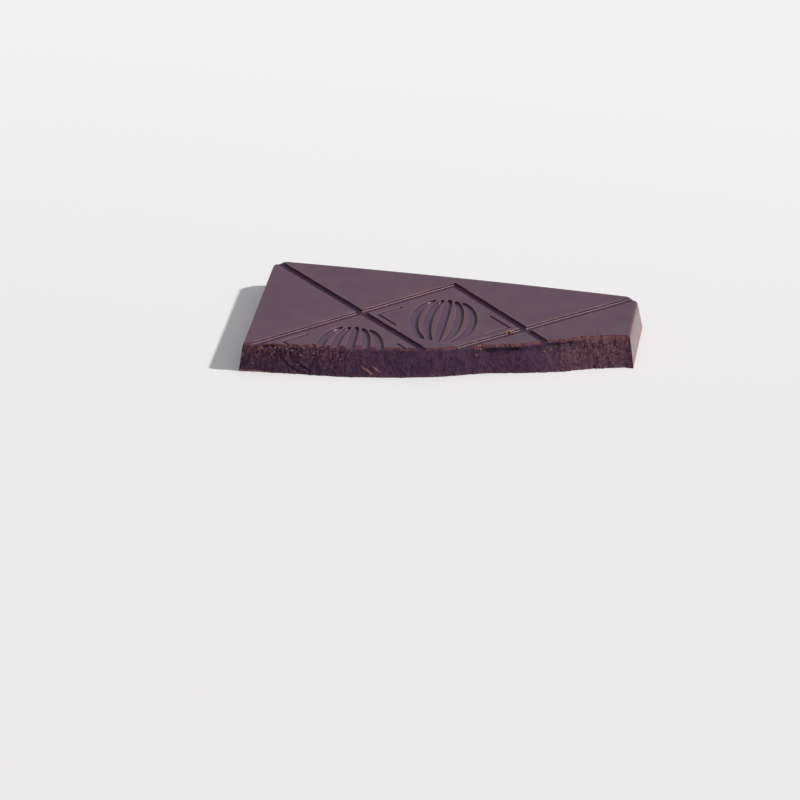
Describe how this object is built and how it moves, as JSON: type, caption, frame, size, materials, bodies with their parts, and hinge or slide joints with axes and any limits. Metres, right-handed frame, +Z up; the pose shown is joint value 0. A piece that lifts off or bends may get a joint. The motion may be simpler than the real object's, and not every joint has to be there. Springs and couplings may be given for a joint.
{
  "type": "chocolate bar",
  "caption": "Broken end piece of a flat dark chocolate bar: bevelled moulded corners, crossing snap grooves, ribbed pod relief and a rough snapped edge.",
  "frame": {"origin": "middle of the bounding box at the flat base", "axes": "+X across the bar's width, +Y towards its moulded end (the broken face looks along -Y), +Z up through the patterned face"},
  "size_m": [0.079, 0.0442, 0.006],
  "materials": {
    "dark_chocolate": "satin"
  },
  "bodies": {
    "root": {"chocolate_bar": "dark_chocolate"}
  },
  "joints": []
}
